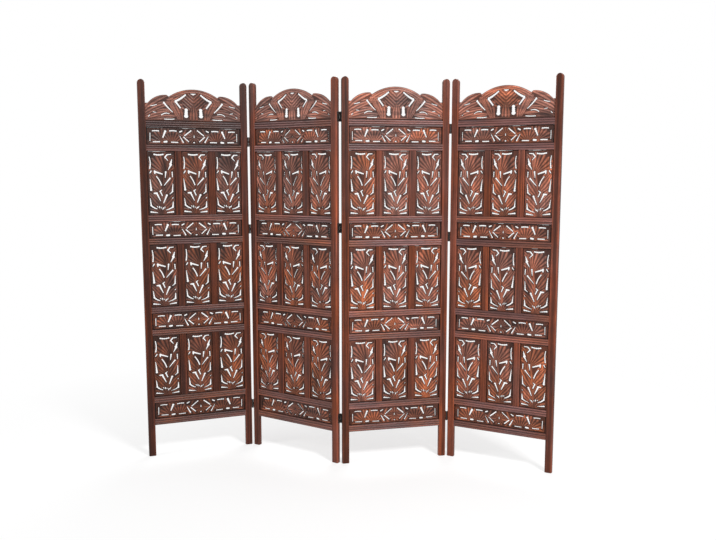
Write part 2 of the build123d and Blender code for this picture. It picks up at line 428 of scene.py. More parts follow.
def leaf(x, y, start, end, bow, width, veins):
    """A leaf: a dome with a midrib cut along it and slanting veins cut out to its edge.

    Veins is the run of the leaf from one vein to the next. A vein is (0.5 + 0.5 cos 2 pi s)^1.2,
    where s counts veins along the leaf and drops with the slant across it.
    """
    share, across = along_bow(x, y, start, end, bow)
    half = swelling(share, width, LEAF_FULLNESS)
    aside = np.abs(across)
    midrib = np.exp(-(across / MIDRIB_WIDTH) ** 2)
    slant = (share * math.dist(start, end) - VEIN_SLANT * aside) / veins
    vein = (0.5 + 0.5 * np.cos(2 * math.pi * slant)) ** 1.2
    cut = MIDRIB_CUT * midrib + VEIN_CUT * vein * np.clip(aside / VEIN_START, 0, 1)
    back = domed(across / np.maximum(half, LEAST_WIDTH))
    return half - aside, LEAF_EDGE + (1 - LEAF_EDGE) * back - cut


def petal(x, y, start, end, bow, width, ribs):
    """A petal: as a leaf, but its grooves run along it, side by side.

    With s from -1 to 1 across it, a groove is (0.5 + 0.5 cos(pi ribs (s + 1)))^1.3.
    """
    share, across = along_bow(x, y, start, end, bow)
    half = swelling(share, width, PETAL_FULLNESS)
    spread = across / np.maximum(half, LEAST_WIDTH)
    groove = (0.5 + 0.5 * np.cos(math.pi * ribs * (spread + 1))) ** 1.3
    return half - np.abs(across), PETAL_EDGE + (1 - PETAL_EDGE) * domed(spread) - PETAL_CUT * groove


def fan(x, y, foot, tip, spread, ribs):
    """A shell: its ribs part from the foot and end in a scalloped round edge.

    Spread is the angle between its sides, in degrees. With t from -1 to 1 round the foot, a rib is
    0.5 - 0.5 cos(pi ribs (t + 1)), and the grooves between the ribs deepen out to the swell.
    """
    run_x, run_y = tip[0] - foot[0], tip[1] - foot[1]
    radius = math.hypot(run_x, run_y)
    right, up = x - foot[0], y - foot[1]
    turn = np.arctan2(up * run_x - right * run_y, right * run_x + up * run_y)
    distance = np.hypot(right, up)
    limit = math.radians(spread) / 2
    rib = 0.5 - 0.5 * np.cos(math.pi * ribs * (turn / limit + 1))
    edge = radius * (1 - FAN_SCALLOP * (1 - rib))
    inside = np.minimum(edge - distance, (limit - np.abs(turn)) * distance)
    swell = np.clip(distance / (FAN_SWELL_END * radius), 0, 1)
    return inside, FAN_FOOT + swell * (FAN_SWELL - FAN_CUT * (1 - rib) ** 1.2)


def stem(x, y, start, end, bow, width):
    """A stem: a round bar of one width."""
    across = along_bow(x, y, start, end, bow)[1]
    return width - np.abs(across), STEM_EDGE + STEM_CROWN * domed(across / width)


def opening(x, y, start, end, bow, first, last):
    """Depth inside a slot whose half width goes evenly from first to last, with scalloped edges.

    Its ends are round. With u the share along it, the bites of the gouge are |sin(pi bites u)|.
    """
    share, across = along_bow(x, y, start, end, bow)
    half = first + (last - first) * share
    bites = round(math.dist(start, end) / GOUGE_BITE)
    scallop = GOUGE_SCALLOP * np.abs(np.sin(math.pi * bites * share)) if bites > 1 else 0.0
    return half * (GOUGE_OVERCUT - scallop) - np.abs(across)


# Each opening has its two ends, across and up from the board's middle, its bow, and its half
# width at each end. An opening that turns is two or three that overlap.
TALL_BOARD_OPENINGS = (
    ((-29, 138.5), (11, 138), -2.5, 3.6, 3.4),      # over the great bud
    ((30, 136.5), (47, 137.5), 0, 2.6, 2.3),
    ((29, 134.5), (20.5, 124.5), 0, 3.1, 2.9),
    ((20.5, 123.5), (33, 109.5), 0, 3.1, 1.9),
    ((-53, 124.5), (-52.5, 73.5), 2.8, 2.3, 3.6),   # left of the great bud
    ((51.5, 112), (45.5, 92.5), 0, 2.4, 6.1),       # right of it
    ((46.5, 88.5), (33.5, 66.5), 0, 5.3, 1.9),
    ((-53, 49.5), (-47, 59), 0, 1.9, 2.7),
    ((-31, 58.5), (-30, 48.5), 0, 3.6, 3.1),        # under the great bud
    ((-27, 55.5), (3.5, 45), 0, 4.2, 3.1),
    ((21, 53.5), (18, 28.5), 0, 4.1, 1.9),          # between the two buds
    ((51, 52.5), (52, 31.5), 0, 2.9, 2.3),
    ((-22, 32), (-2, -7), 2.2, 2.8, 3.2),           # either side of the main stem
    ((39.5, 23.5), (11.5, -8.5), 0, 4.1, 1.9),
    ((-54, 21.5), (-49, -30.5), 0, 1.5, 5.1),       # outside the middle leaves
    ((52.5, -3.5), (50.5, -39.5), 0, 1.9, 3.8),
    ((50, -41.5), (39, -50.5), 0, 3.1, 1.9),
    ((1.5, -30.5), (-8, -37.5), 0, 1.5, 2.6),       # between the crossing stems
    ((-6, -38.5), (2, -56.5), 0, 3.2, 2.9),
    ((-35, -47), (-22.5, -46.5), 0, 2.9, 3.8),      # over the lower leaves
    ((-22.5, -48.5), (-6.5, -82.5), 0, 4.8, 1.9),
    ((23.5, -57.5), (8.5, -91.5), 0, 4.8, 2.6),
    ((53.5, -69), (50, -73.5), 0, 1.9, 1.5),
    ((-54, -72.5), (-50.5, -103.5), 0, 1.5, 3.8),   # round the lower leaves
    ((-50, -105.5), (-24.5, -120.5), -2, 3.8, 2.3),
    ((53, -90.5), (51, -113.5), 0, 2.3, 4.6),
    ((49, -115.5), (17.5, -128), 2, 3.6, 1.5),
    ((-12, -110.5), (-10.5, -118), 0, 2.6, 1.5),    # either side of the foot of the stem
    ((6, -117), (3.5, -124), 0, 2.6, 1.9),
    ((-4, -113), (-3.5, -120), 0, 1.6, 1.2),
    ((14.5, -112), (11, -120), 0, 2.0, 1.2),
    ((-21.5, -109), (-18, -115), 0, 1.8, 1.2),
    ((-52, -136), (-21.5, -139.5), 0, 3.8, 1.5),    # beside the fan
    ((23.5, -141), (52, -137.5), 0, 1.9, 3.8),
)
# Each raised shape has its kind, its two ends, its bow and its half width; later ones lie on top.
TALL_BOARD_RELIEF = (
    (petal, (64, 134), (24, 96), 0, 12, 2),
    (petal, (68, 82), (12, 50), -2, 12, 2),
    (petal, (-66, 66), (-30, 64), 0, 9, 1),
    (petal, (-44, 58), (-2, -22), 3, 14, 2),
    (petal, (44, 44), (12, -30), 0, 11, 2),
    (petal, (-46, -30), (-2, -90), 3, 13, 2),
    (petal, (30, -38), (4, -104), 0, 11, 2),
    (stem, (-38, 74), (-44, 36), 0, 4.6),
    (stem, (-66, -119), (-12, -131), -2, 4.6),
    (stem, (66, -122), (16, -134), 2, 4.6),
    (petal, (50, -86), (72, -76), 0, 7, 1),
    (petal, (-6, -34), (-60, 44), 6, 22, 3),            # middle leaves
    (petal, (9, -54), (61, 32), -4, 23, 3),
    (petal, (-3, -116), (-64, -44), 3, 20, 3),          # lower leaves
    (petal, (2, -120), (66, -52), -3, 20, 3),
    (petal, (22, 40), (34, 132), -6, 17, 2),            # great bud
    (fan, (22, 40), (-35, 128), 74, 6),
    (petal, (28, 18), (39, 74), 0, 12, 2),              # lesser bud
    (stem, (30, 26), (6, -14), -3, 3.6),
    (stem, (-17, -38), (2, -78), 0, 3.4),
    (stem, (15, -48), (1, -84), 0, 3.6),
    (stem, (16, 50), (0, -112), -3, 4.4),               # main stem
    (fan, (0, -153), (0, -106), 140, 7),                # fan at the foot
    (stem, (-1, -88), (-2, -122), 0, 4.2),
)
# The right half of a frieze; the left half mirrors it.
FRIEZE_OPENINGS = (
    ((208, 14), (208, -21), 0, 2.0, 2.0),
    ((168, 25), (196, 25), 1, 2.9, 2.6),
    ((164, -26), (192, -26), 0, 2.9, 2.6),
    ((137, 22), (148, -4), 0, 5.4, 3.4),
    ((131, -26), (142, -27), 0, 4.0, 3.6),
    ((86, 25), (115, 25), 1, 3.0, 2.9),
    ((79, -28), (108, -28), 0, 2.6, 2.5),
    ((58, 27), (68, 22), 0, 2.3, 2.9),
    ((72, 9), (53, -26), 0, 1.1, 3.5),
    ((16, 28), (44, 6), 0, 3.1, 3.1),
    ((49, -3), (27, -23), 0, 3.0, 2.6),
    ((0, -3), (0, 6), 0, 2.3, 1.2),
    ((0, -28), (4, -28), 0, 2.5, 1.4),
)
FRIEZE_RELIEF = (
    (stem, (53, 3), (36, 42), 0, 4.6),
    (stem, (53, 3), (28, -42), 0, 4.6),
    (stem, (52, 2), (90, 14), 0, 4.0),
    (stem, (120, -15), (158, -17), 0, 4.2),
    (stem, (140, 36), (152, -36), 0, 4.6),
    (petal, (10, 0), (50, 2), 0, 13, 2),
    (petal, (70, -4), (50, -40), 0, 10, 1),
    (petal, (132, -30), (122, 36), 0, 9, 1),
    (fan, (148, -30), (197, 12), 104, 6),
    (fan, (106, -36), (98, 26), 120, 7),
    (fan, (0, -2), (0, -36), 130, 5),
    (fan, (0, -8), (0, 36), 130, 7),
)
# The right half of the pediment, up from the top rail; the left half mirrors it.
CREST_OPENINGS = (
    ((0, 129), (16, 134), 0, 4.2, 1.8),             # crown
    ((38, 125), (82, 96), -2, 4.2, 5.4),            # round the fan
    ((83, 92), (63, 66), 0, 5.2, 3.8),
    ((35.5, 28), (34.5, 54), 0, 9.4, 7.6),          # beside the stem
    ((138, 86), (94, 40), 2, 4.8, 2.0),             # in the wings
    ((200, 71), (174, 77), 1, 2.0, 2.0),
    ((151, 29), (116, 36), -5, 2.4, 2.2),
    ((137, 10), (93, 11), 1, 2.2, 2.2),
    ((212, 21), (205, 28), 0, 1.8, 1.4),
    ((190, 43), (176, 40), 0, 1.8, 1.6),
)
CREST_RELIEF = (
    (petal, (250, -6), (82, 8), 0, 13, 2),          # feathers of the wing, lowest first
    (petal, (250, 0), (84, 24), -4, 16, 2),
    (petal, (248, 8), (92, 50), -9, 18, 3),
    (petal, (244, 24), (108, 86), -12, 20, 3),
    (petal, (236, 50), (118, 122), -12, 18, 2),
    (petal, (57, -14), (60, 68), -2, 12, 2),        # beside the stem
    (petal, (66, 22), (106, 104), 0, 14, 2),
    (petal, (20, 56), (76, 84), -3, 12, 2),
    (petal, (34, 136), (108, 92), 5, 12, 2),
    (leaf, (0, 46), (0, 144), 0, 56, 17),           # fan
    (petal, (0, -34), (0, 74), 0, 23, 3),           # stem
)


def rounded_over(depth, radius, least=0.0):
    """A quarter circle: least at an edge, and 1 from radius inside it."""
    return least + (1 - least) * np.sqrt(1 - (1 - np.clip(depth / radius, 0, 1)) ** 2)


def raised(x, y, shapes):
    """Relief with each shape laid on the ground in turn, its edge rounded to what it lies on."""
    relief = np.full(x.shape, GROUND)
    for kind, *numbers in shapes:
        inside, height = kind(x, y, *numbers)
        laid = relief + (height - relief) * rounded_over(inside, SHAPE_ROUND)
        relief = np.where(inside > 0, laid, relief)
    return relief


def opened(x, y, margin, openings):
    """Depth inside the wood once the openings are cut, at most the margin."""
    depth = np.full(x.shape, margin)
    for numbers in openings:
        depth = np.minimum(depth, -opening(x, y, *numbers))
    return depth


def bordered(border, margin, relief):
    """Relief with a plain border, rounded down to the carving inside it and the joint outside it, where the
    low relief is a groove and also a painted near-black shadow line.
    """
    inner = rounded_over(border, BORDER_INNER_ROUND, BORDER_INNER_EDGE)
    # near the joint the relief falls almost to nought: a groove and a painted shadow line
    outer = rounded_over(margin - border - SHADOW_LINE_GAP, BORDER_OUTER_ROUND, JOINT_RELIEF)
    return np.where(border > 0, BORDER * inner * outer, relief)


def board_field(width, height, end_margin, margin, openings, shapes, mirrored):
    """The field of a board whose margins are left whole; a mirrored one is alike on both halves."""
    def field(x, y):
        across = np.abs(x) if mirrored else x
        border = np.maximum(np.abs(x) - (width / 2 - end_margin), np.abs(y) - (height / 2 - margin))
        depth = opened(across, y, margin, openings)
        return np.maximum(depth, border), bordered(border, margin, raised(across, y, shapes))
    return field


def crest_top(x, sizes):
    """Height of the pediment's outline over its base: an arch, a wing each side and level shoulders."""
    side = np.abs(x)
    half, rise = sizes.arch_foot_offset, sizes.arch_rise - sizes.arch_foot_rise
    radius = (half ** 2 + rise ** 2) / (2 * rise)
    arch = sizes.arch_rise - radius + np.sqrt(np.maximum(radius ** 2 - side ** 2, 0))
    foot_x, foot_z = sizes.shoulder_offset, sizes.shoulder_rise
    tip_x, tip_z = sizes.wing_tip_offset, sizes.wing_tip_rise
    chord = math.hypot(foot_x - tip_x, tip_z - foot_z)
    wing_radius = (chord ** 2 / 4 + sizes.wing_bulge ** 2) / (2 * sizes.wing_bulge)
    inward = wing_radius - sizes.wing_bulge
    centre_x = (foot_x + tip_x) / 2 - inward * (tip_z - foot_z) / chord
    centre_z = (foot_z + tip_z) / 2 - inward * (foot_x - tip_x) / chord
    wing = centre_z + np.sqrt(np.maximum(wing_radius ** 2 - (side - centre_x) ** 2, 0))
    nick = sizes.arch_foot_rise + (side - half) * (tip_z - sizes.arch_foot_rise) / (tip_x - half)
    return np.select([side < half, side < tip_x, side < foot_x], [arch, nick, wing], foot_z)


def beads(low, count):
    """Round beads side by side, low + 0.5 |sin(pi n)|, with n counting beads across them."""
    return low + 0.5 * np.abs(np.sin(math.pi * count))


def crest_field(sizes):
    """The field of the pediment: a banded dome over a fan, and leafy wings beside it."""
    offsets = np.linspace(0, CREST_REACH, 2 * CREST_REACH + 1)
    slopes = np.abs(np.gradient(crest_top(offsets, sizes), offsets))
    band = sizes.band_width

    def field(x, z):
        side = np.abs(x)
        lean = np.minimum(np.interp(side, offsets, slopes), CREST_STEEPEST)
        under = (crest_top(x, sizes) - z) / np.sqrt(1 + lean ** 2)
        relief = raised(side, z, CREST_RELIEF)
        depth = opened(side, z, band, CREST_OPENINGS)
        strip = stem(side, z, *CREST_STRIP, 0, sizes.strip_width)[0]
        relief = np.where(strip > 0, beads(STRIP_BEAD, strip / sizes.strip_width), relief)
        dome = (side < sizes.arch_foot_offset) & (under < 2 * band)
        edge = CREST_EDGE + CREST_EDGE_RISE * rounded_over(under, CREST_ROUND)
        relief = np.where(under < WING_EDGE * band, edge, relief)
        relief = np.where(dome, beads(DOME_BEAD, np.clip(under / band, 0, 2)), relief)
        # along the top rail the relief falls almost to nought: a groove and a painted shadow line
        foot = BORDER * rounded_over(z - SHADOW_LINE_GAP, CREST_ROUND, JOINT_RELIEF)
        relief = np.where(z < sizes.foot_band, foot, relief)
        whole = np.where(dome, 2 * band, WING_BAND * band) - under
        depth = np.maximum.reduce([depth, strip, whole, sizes.foot_band - z])
        return np.minimum(depth, under), relief
    return field


# ---------------------------------------------------------------------------------------------
# Plates: a carved field made into a closed, pierced board
# ---------------------------------------------------------------------------------------------

def kept_cells(depth):
    """Which cells of a grid are wood, from the depth at its points.

    A cell is wood where the mean of its four corners is inside. Only wood that reaches the sides
    or the foot of the grid is kept, and two cells that meet at one corner only get a third.
    """
    wood = (depth[:-1, :-1] + depth[1:, :-1] + depth[:-1, 1:] + depth[1:, 1:]) > 0
    held = np.zeros_like(wood)
    held[0], held[:, 0], held[:, -1] = wood[0], wood[:, 0], wood[:, -1]
    count = 0
    while held.sum() > count:
        count = held.sum()
        beside = held.copy()
        beside[1:] |= held[:-1]
        beside[:-1] |= held[1:]
        beside[:, 1:] |= held[:, :-1]
        beside[:, :-1] |= held[:, 1:]
        held = beside & wood
    count = 0
    while held.sum() > count:
        count = held.sum()
        a, b, c, d = held[:-1, :-1], held[:-1, 1:], held[1:, :-1], held[1:, 1:]
        falling, rising = a & d & ~b & ~c, b & c & ~a & ~d
        held[:-1, 1:] |= falling
        held[:-1, :-1] |= rising
    return held


def drawn_to_edge(field, x, y, cell):
    """Points moved down the slope of the depth to where it is nought, at most a short way."""
    step, reach = SLOPE_STEP * cell, EDGE_REACH * cell
    for _ in range(2):
        depth = field(x, y)[0]
        slope_x = (field(x + step, y)[0] - field(x - step, y)[0]) / (2 * step)
        slope_y = (field(x, y + step)[0] - field(x, y - step)[0]) / (2 * step)
        move = -depth / np.maximum(slope_x ** 2 + slope_y ** 2, LEAST_SLOPE)
        x = x + np.clip(move * slope_x, -reach, reach)
        y = y + np.clip(move * slope_y, -reach, reach)
    return x, y


def plate(field, low, high, carving):
    """A board whose wood is where the field is inside, carved alike on both faces.

    Each face stands off the middle plane by floor + (half thickness - floor) * relief * rounding,
    where rounding goes to 1 by a quarter circle in from every edge.
    """
    cell = carving.cell / MM
    columns, rows = (round((high[i] - low[i]) / cell) + 1 for i in (0, 1))
    x, y = np.meshgrid(np.linspace(low[0], high[0], columns), np.linspace(low[1], high[1], rows))
    wood = kept_cells(field(x, y)[0])
    ringed = np.pad(wood, 1).astype(int)
    cells_round = ringed[:-1, :-1] + ringed[1:, :-1] + ringed[:-1, 1:] + ringed[1:, 1:]
    used = cells_round > 0
    rim = used & (cells_round < 4)
    rim[0], rim[:, 0], rim[:, -1] = False, False, False
    x[rim], y[rim] = drawn_to_edge(field, x[rim], y[rim], cell)
    depth, relief = field(x[used], y[used])
    relief = relief * rounded_over(depth, carving.edge_radius / MM, EDGE_RELIEF)
    stand_off = carving.floor + (carving.half_thickness - carving.floor) * relief
    front = np.stack([x[used] * MM, -stand_off, y[used] * MM], -1)
    back = front * (1, -1, 1)

    number = np.full(used.shape, -1)
    number[used] = np.arange(used.sum())
    row, column = np.nonzero(wood)
    corners = np.stack([number[row, column], number[row, column + 1],
                        number[row + 1, column + 1], number[row + 1, column]], -1)
    walls = []
    neighbours = (ringed[row, column + 1], ringed[row + 1, column + 2],
                  ringed[row + 2, column + 1], ringed[row + 1, column])
    for side, neighbour in enumerate(neighbours):
        edge = neighbour == 0
        first, second = corners[edge, side], corners[edge, (side + 1) % 4]
        walls.append(np.stack([second, first, first + len(front), second + len(front)], -1))
    quads = np.concatenate([corners, corners[:, ::-1] + len(front)] + walls)
    return shape(np.concatenate([front, back]), quads, relief=np.tile(relief, 2))


def by_hand(field, drift, chance):
    """The same field as another pass of the chisel leaves it, drawn a little aside in long waves.

    Each way it strays by drift times the sum of two sines of the place, at phases of its own.
    """
    phases = chance.uniform(0, 2 * math.pi, 4)

    def field_by_hand(x, y):
        aside = drift * (np.sin(y / 37 + phases[0]) + 0.6 * np.sin(y / 13 + x / 41 + phases[1]))
        upward = drift * (np.sin(x / 31 + phases[2]) + 0.6 * np.sin(x / 17 - y / 47 + phases[3]))
        return field(x + aside, y + upward)
    return field_by_hand


def facing(field, turned):
    """The field, or its mirror image on a panel that is turned."""
    return (lambda x, y: field(-x, y)) if turned else field


# ---------------------------------------------------------------------------------------------
# Plain pieces
# ---------------------------------------------------------------------------------------------

def chances(name):
    """Random numbers that depend on a piece's name alone."""
    return np.random.default_rng(list(name.encode()))


def turned_out(part):
    """A shape turned inside out by a negative size, with its faces put the right way round again."""
    return {**part, "quads": part["quads"][:, ::-1], "triangles": part["triangles"][:, ::-1]}


def turned_about_z(part, angle):
    """A shape turned about Z."""
    across, up = math.cos(angle), math.sin(angle)
    turn = np.array([[across, up, 0], [-up, across, 0], [0, 0, 1]])
    return {**part, "points": part["points"] @ turn}


def moved(part, offset):
    """A shape carried by an offset."""
    return {**part, "points": part["points"] + np.asarray(offset)}


def laid_across(part):
    """A shape swept up Z laid along X: its width becomes its height."""
    return {**part, "points": part["points"][:, (2, 1, 0)] * (-1, 1, 1)}


def corner_relief(near):
    """Relief round a plain bar, from how near each point is to a corner."""
    return FACE_RELIEF + (1 - FACE_RELIEF) * near


def stile_shape(low, high, bevel):
    """A stile: a superellipse carried up, its width falling as a half circle to the tip.

    Half width over height h above the straight part is sqrt(r^2 - h^2), r being half the width.
    The foot is bevelled, and the tip is thinned from front to back as the square of the way up it.
    """
    width, depth, _ = high - low
    foot, shaft, tip, thinned = 4, 8, 16, 6        # stations in each part, and thinned ones of the tip
    section, near = superellipse(width, depth, STILE_POWER)
    half = width / 2
    straight = high[2] - half
    ease = np.linspace(0, 1, foot)
    start = low[2] + bevel / 2 * ease
    rise = half * np.sin(np.linspace(0, TIP_TURN, tip))
    stations = np.concatenate([start, np.linspace(start[-1], straight, shaft + 2)[1:-1], straight + rise])
    foot_scale = 1 - (1 - ease) ** 2 * bevel / width
    tip_scale = 1 - np.linspace(0, 1, thinned) ** 2 * bevel / depth * TIP_THINNING
    across = np.concatenate([foot_scale, np.ones(shaft), np.sqrt(1 - (rise / half) ** 2)])
    through = np.concatenate([foot_scale, np.ones(shaft + tip - thinned), tip_scale])
    part = swept(section, stations, np.stack([across, through], -1), corner_relief(near))
    return moved(part, [(low[0] + high[0]) / 2, (low[1] + high[1]) / 2, 0])


def reeded_section(height, depth, reeds, groove_depth, points_each=9):
    """A bar with rounded reeds worked on both long faces, as points and how high each stands.

    Across one reed, u from -1 to 1, the face stands depth/2 - groove * |u|^3 from the middle.
    """
    u = np.linspace(-1, 1, points_each)[:-1]
    centres = height * ((np.arange(reeds) + 0.5) / reeds - 0.5)
    levels = (centres[:, None] + u * height / (2 * reeds)).ravel()
    levels = np.append(levels, height / 2)
    stand_off = np.tile(depth / 2 - groove_depth * np.abs(u) ** 3, reeds)
    stand_off = np.append(stand_off, depth / 2 - groove_depth)
    section = np.concatenate([np.stack([levels, -stand_off], -1),
                              np.stack([levels[::-1], stand_off[::-1]], -1)])
    high = 1 - (depth / 2 - np.abs(section[:, 1])) / groove_depth
    return section, high


def rail_shape(low, high, reeds, groove_depth):
    """A rail: the reeded section carried from the bottom of one seat to the other."""
    length, depth, height = high - low
    section, relief = reeded_section(height, depth, reeds, groove_depth)
    relief = REED_GROOVE + (REED_TOP - REED_GROOVE) * relief
    part = straight_bar(section, -length / 2, length / 2, RAIL_STATIONS, relief)
    return moved(laid_across(part), (low + high) / 2)


def bar_shape(low, high, power):
    """A plain bar with rounded long edges."""
    width, depth, height = high - low
    section, near = superellipse(width, depth, power)
    part = straight_bar(section, 0, height, MUNTIN_STATIONS, corner_relief(near))
    return moved(part, [(low[0] + high[0]) / 2, (low[1] + high[1]) / 2, low[2]])


def circle(radius, sides):
    """Points round a circle."""
    turn = 2 * math.pi * np.arange(sides) / sides
    return radius * np.stack([np.cos(turn), np.sin(turn)], -1)


def round_bar(radius, low, high, chamfer, sides=24):
    """A round bar whose ends are chamfered."""
    narrow = 1 - chamfer / radius
    stations = np.array([low, low + chamfer, high - chamfer, high])
    return swept(circle(radius, sides), stations, alike([narrow, 1, 1, narrow]),
                 np.full(sides, BARREL_RELIEF))


def bored_bar(radius, bore, low, high, chamfer, sides=24):
    """A round bar with a bore right through: its profile is a loop carried round Z."""
    radii = np.array([bore, radius - chamfer, radius, radius, radius - chamfer, bore])
    levels = np.array([low, low, low + chamfer, high - chamfer, high, high])
    rows = len(radii)
    points = np.empty((rows, sides, 3))
    points[..., :2] = radii[:, None, None] * circle(1, sides)
    points[..., 2] = levels[:, None]
    start = np.arange(sides)
    after = (start + 1) % sides
    last = (rows - 1) * sides
    closing = np.stack([last + start, last + after, after, start], -1)
    quads = np.concatenate([grid_quads(rows, sides, True), closing])
    return shape(points.reshape(-1, 3), quads, relief=np.full(rows * sides, BARREL_RELIEF))


def screw_head(radius, slot, proud, sides=10):
    """A slotted head lying on XY: two halves of a low disc, each a sweep about its own middle."""
    limit = math.asin(slot / 2 / radius)
    turn = np.linspace(limit, math.pi - limit, sides)
    half = radius * np.stack([np.cos(turn), np.sin(turn)], -1)
    middle = half.mean(0)
    stations = proud * np.array([-1, 0.4, 1])
    halves = []
    for sense in (1, -1):
        head = swept((half - middle) * sense, stations, alike([1, 1, 0.86]), np.ones(sides))
        halves.append(moved(head, [*(middle * sense), 0]))
    return joined(halves)


def leaf_plate(outward, thickness, width, height, corner):
    """A flat plate in the plane of Y and Z, standing out from X = 0 and narrowed near both faces.

    Outward is 1 or -1, the way it stands out along X.
    """
    section, near = rounded_rectangle(width, height, corner)
    quarter = thickness / 4
    stations = outward * np.array([0, quarter, 3 * quarter, thickness])
    narrow = 1 - quarter / width
    part = swept(section, stations, alike([narrow, 1, 1, narrow]), 0.5 + 0.5 * near)
    part = {**part, "points": part["points"][:, (2, 0, 1)]}
    return part if outward > 0 else turned_out(part)


# ---------------------------------------------------------------------------------------------
# Finishes
# ---------------------------------------------------------------------------------------------

def added(tree, kind, settings=None, **inputs):
    """A node with its settings and inputs; an input that is a socket is linked, any other is set."""
    new = tree.nodes.new(kind)
    for name, value in (settings or {}).items():
        setattr(new, name, value)
    for name, value in inputs.items():
        socket = new.inputs[int(name[1:]) if name[1:].isdigit() else name.replace("_", " ")]
        if isinstance(value, bpy.types.NodeSocket):
            tree.links.new(value, socket)
        else:
            socket.default_value = value
    return new


def sums(tree, operation, first, second):
    """The result of a sum on two values."""
    return added(tree, "ShaderNodeMath", {"operation": operation}, i0=first, i1=second).outputs[0]


def ranged(tree, value, low, high, to_low, to_high):
    """A value moved from one range to another, and kept inside it."""
    return added(tree, "ShaderNodeMapRange", {}, Value=value, From_Min=low, From_Max=high,
                 To_Min=to_low, To_Max=to_high).outputs[0]


def tinted(tree, colour, value):
    """A colour made lighter or darker by a value."""
    return added(tree, "ShaderNodeVectorMath", {"operation": "SCALE"}, i0=colour, Scale=value).outputs[0]


def noise(tree, place, stretch, detail, roughness, shift=0.0):
    """Noise with its place stretched along each axis, in features per metre."""
    mapped = added(tree, "ShaderNodeMapping", {}, Vector=place, Location=(shift,) * 3, Scale=stretch)
    return added(tree, "ShaderNodeTexNoise", {}, Vector=mapped.outputs[0], Scale=1.0, Detail=detail,
                 Roughness=roughness).outputs[0]


def shades(tree, value, *stops):
    """A colour ramp from its stops, each a position and a linear colour."""
    ramp = added(tree, "ShaderNodeValToRGB", {}, Fac=value)
    elements = ramp.color_ramp.elements
    while len(elements) < len(stops):
        elements.new(0.5)
    for element, (position, colour) in zip(elements, stops):
        element.position = position
        element.color = (*colour, 1)
    return ramp.outputs[0]


def scaled(colour, factor, warmth=1.0):
    """A colour made lighter, and warmer where its red grows against its blue."""
    return (colour[0] * factor * warmth, colour[1] * factor, colour[2] * factor / warmth)


def value_of(tree, attribute, output="Fac"):
    """What a mesh attribute says at each point."""
    return added(tree, "ShaderNodeAttribute", {"attribute_name": attribute}).outputs[output]


def times(tree, first, second):
    """Two colours multiplied channel by channel."""
    return added(tree, "ShaderNodeVectorMath", {"operation": "MULTIPLY"}, i0=first, i1=second).outputs[0]


def mixed(tree, share, first, second):
    """A mix of two colours."""
    return added(tree, "ShaderNodeMix", {"data_type": "RGBA"}, Factor=share, i6=first, i7=second).outputs[2]


def finished_with(tree, shader, colour, rough, strength, distance, surface):
    """Link a colour, a roughness and the bumps of a surface to the shader."""
    bump = added(tree, "ShaderNodeBump", {}, Strength=strength, Distance=distance, Height=surface)
    tree.links.new(colour, shader.inputs["Base Color"])
    tree.links.new(rough, shader.inputs["Roughness"])
    tree.links.new(bump.outputs[0], shader.inputs["Normal"])


def new_material(name):
    """A material, its node tree and its shader."""
    material = bpy.data.materials.new(name)
    material.use_nodes = True
    return material, material.node_tree, material.node_tree.nodes["Principled BSDF"]


# Layers of a timber's figure: features per metre across, through and along the grain, then
# octaves, roughness and a shift that keeps the layers apart.
CARVED_FIGURE = ((30, 30, 7), 5, 0.6)
PLAIN_FIGURE = ((85, 85, 1.6), 5, 0.6)
STREAKS = ((260, 260, 7), 4, 0.6, 3.1)
FIBRES = ((1500, 1500, 40), 2, 0.5, 7.7)
PORES = ((900, 900, 55), 1, 0.5, 1.3)
HANDLING = ((9, 9, 9), 3, 0.5, 5.5)
AGEING = ((4, 4, 4), 2, 0.5, 9.1)
# Where an ageing is low the timber is cooler, and where it is high it is warmer. The finish lowers it
# towards the top, which paints a cooler sheen on the upper parts.
AGED_AND_PAINTED_SHEEN = ((0.33, (0.94, 1.18, 1.45)), (0.5, (1.0, 1.0, 1.0)), (0.66, (1.20, 1.04, 0.72)))
# What relief does to the colour: painted shade in the cuts and grooves, and painted highlights on the
# highs, which on a plain bar's long edges also stand for wear.
CARVED_PAINTED_SHADE_AND_HIGHLIGHT = ((0.0, (0.10, 0.10, 0.10)), (0.30, (0.30, 0.27, 0.26)), (0.62, (0.84, 0.84, 0.84)),
              (0.85, (1.35, 1.32, 1.26)), (1.0, (2.15, 2.2, 2.25)))
PLAIN_PAINTED_SHADE_AND_HIGHLIGHT = ((0.0, (0.10, 0.10, 0.10)), (0.5, (0.55, 0.55, 0.55)), (0.85, (1.05, 1.05, 1.05)),
             (1.0, (1.35, 1.40, 1.42)))


